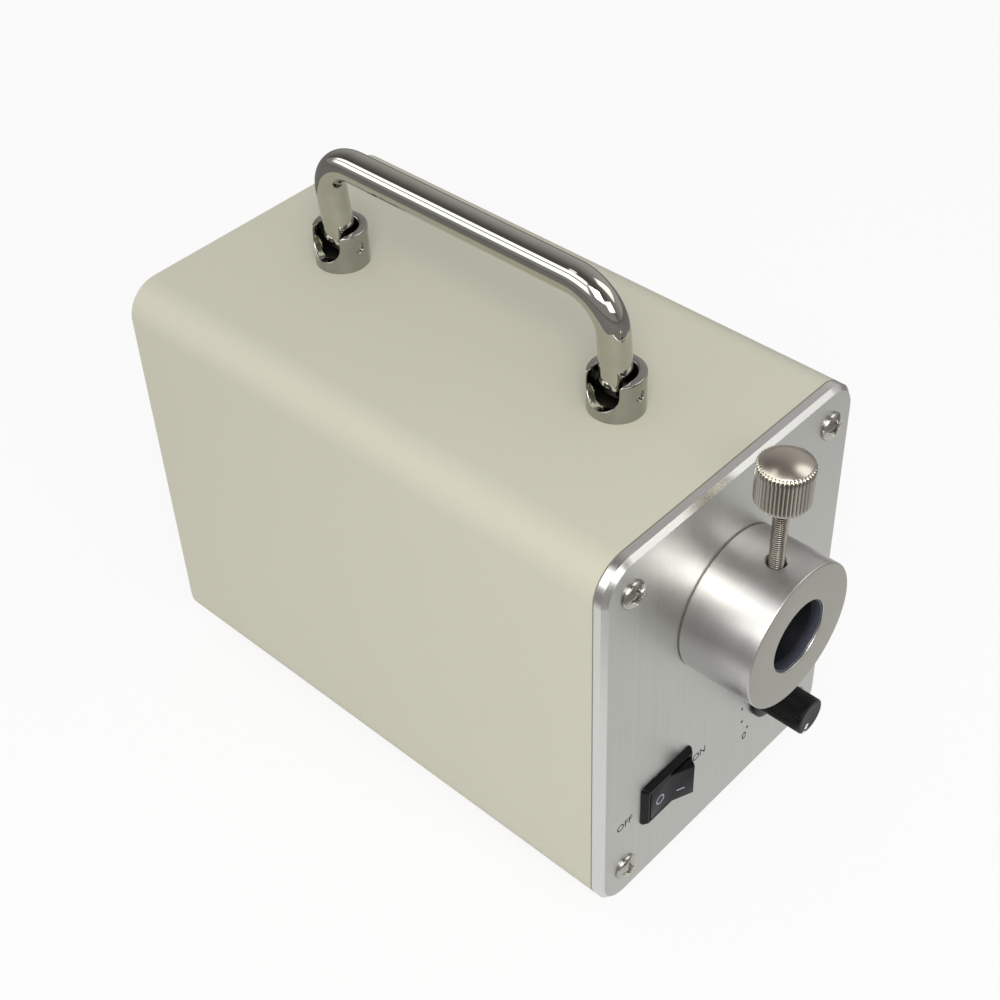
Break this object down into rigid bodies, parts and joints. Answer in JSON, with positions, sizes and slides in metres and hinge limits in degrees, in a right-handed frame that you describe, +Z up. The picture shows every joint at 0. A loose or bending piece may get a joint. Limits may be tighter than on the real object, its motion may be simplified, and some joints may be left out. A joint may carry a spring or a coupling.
{
  "type": "fiber optic illuminator",
  "caption": "Box-shaped bench light source with a clamped light guide port, a rocker switch, a dimmer knob, a fold-down carrying handle and a fan-cooled lamp inside.",
  "frame": {"origin": "on the bench under the middle of the whole object, from the light port's mouth to the back of the power inlet", "axes": "+X to the right as seen from the front, -Y out of the front panel, +Z up"},
  "size_m": [0.1, 0.202, 0.1738],
  "materials": {
    "sleeve_paint": "satin powder coat, pale beige",
    "panel_aluminium": "brushed, clear anodised",
    "port_aluminium": "fine turned, clear anodised",
    "black_aluminium": "black anodised",
    "plain_aluminium": "plain",
    "screw_steel": "nickel plated",
    "sheet_steel": "zinc plated",
    "thumb_steel": "bright, fluted",
    "handle_chrome": "mirror plated",
    "foot_rubber": "matt",
    "knob_plastic": "satin black",
    "switch_plastic": "satin black",
    "black_plastic": "moulded, black",
    "nylon": "natural nylon",
    "lens_glass": "polished",
    "board_copper": "white solder mask",
    "emitter": "yellow phosphor",
    "circuit_board": "green solder mask",
    "brass": "plain",
    "tinned": "tin plated",
    "core": "ferrite and wound tape",
    "capacitor": "sleeved can",
    "terminal_plastic": "moulded, green",
    "copper": "wound wire",
    "fuse_glass": "glass tube",
    "wire_brown": "insulated wire",
    "wire_red": "insulated wire",
    "wire_white": "insulated wire",
    "wire_black": "insulated wire"
  },
  "bodies": {
    "housing": {"housing_sleeve": "sleeve_paint", "front_panel": "panel_aluminium", "rear_panel": "panel_aluminium", "front_panel_screws": "screw_steel", "rear_panel_screws": "screw_steel", "chassis_plate": "sheet_steel", "rubber_feet": "foot_rubber", "foot_screws": "screw_steel", "light_port": "port_aluminium", "port_liner": "black_aluminium", "port_screws": "screw_steel", "lens_barrel": "black_aluminium", "condenser_lens_front": "lens_glass", "lens_spacer": "black_aluminium", "condenser_lens_rear": "lens_glass", "lens_retaining_ring": "black_aluminium", "barrel_screws": "screw_steel", "led_board": "board_copper", "led_emitter": "emitter", "led_board_screws": "screw_steel", "heat_sink": "plain_aluminium", "heat_sink_bracket": "sheet_steel", "heat_sink_screws": "screw_steel", "bracket_screws": "screw_steel", "fan_frame": "black_plastic", "fan_stator": "copper", "fan_screws": "screw_steel", "driver_board": "circuit_board", "board_standoffs": "brass", "board_screws": "screw_steel", "driver_transformer": "core", "driver_capacitors": "capacitor", "driver_terminals": "terminal_plastic", "power_inlet": "black_plastic", "inlet_pins": "tinned", "inlet_screws": "screw_steel", "switch_body": "switch_plastic", "switch_terminals": "tinned", "dimmer_pot_body": "sheet_steel", "dimmer_pot_washer": "screw_steel", "dimmer_pot_nut": "screw_steel", "dimmer_pot_terminals": "tinned", "handle_boss_front": "handle_chrome", "handle_boss_rear": "handle_chrome", "handle_pins": "handle_chrome", "boss_screws": "screw_steel", "mains_wires": "wire_brown", "led_wires": "wire_red", "dimmer_wires": "wire_white", "fan_wires": "wire_black"},
    "handle": {"handle_bar": "handle_chrome"},
    "rocker": {"switch_rocker": "switch_plastic"},
    "dimmer": {"dimmer_knob": "knob_plastic", "dimmer_shaft": "screw_steel"},
    "clamp_tip": {"thumb_screw_tip": "nylon"},
    "clamp_screw": {"thumb_screw": "thumb_steel"},
    "fan": {"fan_rotor": "black_plastic"},
    "fuse_carrier": {"fuse_drawer": "black_plastic", "fuse": "fuse_glass"}
  },
  "joints": [
    {"name": "handle_fold", "type": "hinge", "parent": "housing", "child": "handle", "pos_m": [0, 0.0095, 0.1409], "axis": [0, -1, 0], "range_deg": [-13, 77]},
    {"name": "power_rocker", "type": "hinge", "parent": "housing", "child": "rocker", "pos_m": [-0.0233, -0.078, 0.0352], "axis": [0, 0, 1], "range_deg": [0, 22]},
    {"name": "dimmer_turn", "type": "hinge", "parent": "housing", "child": "dimmer", "pos_m": [0.0237, -0.0855, 0.0332], "axis": [0, 1, 0], "range_deg": [0, 300]},
    {"name": "clamp_travel", "type": "slide", "parent": "housing", "child": "clamp_tip", "axis": [0, 0, 1], "range_m": [-0.019, 0.0071]},
    {"name": "clamp_turn", "type": "hinge", "parent": "clamp_tip", "child": "clamp_screw", "pos_m": [0, -0.092, 0.134], "axis": [0, 0, 1], "range_deg": [-9800, 3680]},
    {"name": "fan_spin", "type": "hinge", "parent": "housing", "child": "fan", "pos_m": [0, 0.0825, 0.091], "axis": [0, 1, 0], "continuous": true},
    {"name": "fuse_drawer_slide", "type": "slide", "parent": "housing", "child": "fuse_carrier", "axis": [0, 1, 0], "range_m": [0, 0.022]}
  ],
  "couplings": [
    {"joint": "clamp_turn", "follows": "clamp_travel", "rad_per_m": 8976}
  ]
}
